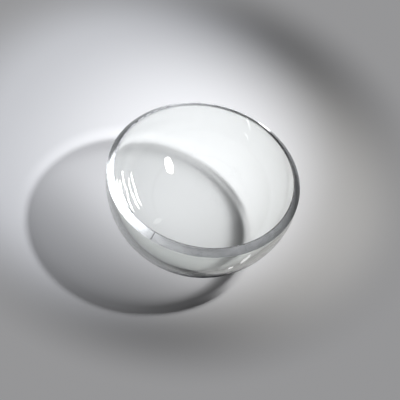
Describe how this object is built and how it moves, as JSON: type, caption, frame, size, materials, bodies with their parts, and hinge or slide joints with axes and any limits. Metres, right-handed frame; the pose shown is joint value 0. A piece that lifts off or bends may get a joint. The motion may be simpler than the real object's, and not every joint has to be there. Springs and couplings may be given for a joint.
{
  "type": "glass dome lens",
  "caption": "Clear hemispherical glass shell with concentric faces, an edged and bevelled rim, for use as a dome window or weak lens.",
  "frame": {"origin": "outer pole of the dome, where it rests", "axes": "+Z along the dome's axis, from the outer pole out of the mouth"},
  "size_m": [0.1, 0.1, 0.0553],
  "materials": {
    "clear_glass": "polished"
  },
  "bodies": {
    "root": {"dome_lens": "clear_glass"}
  },
  "joints": []
}
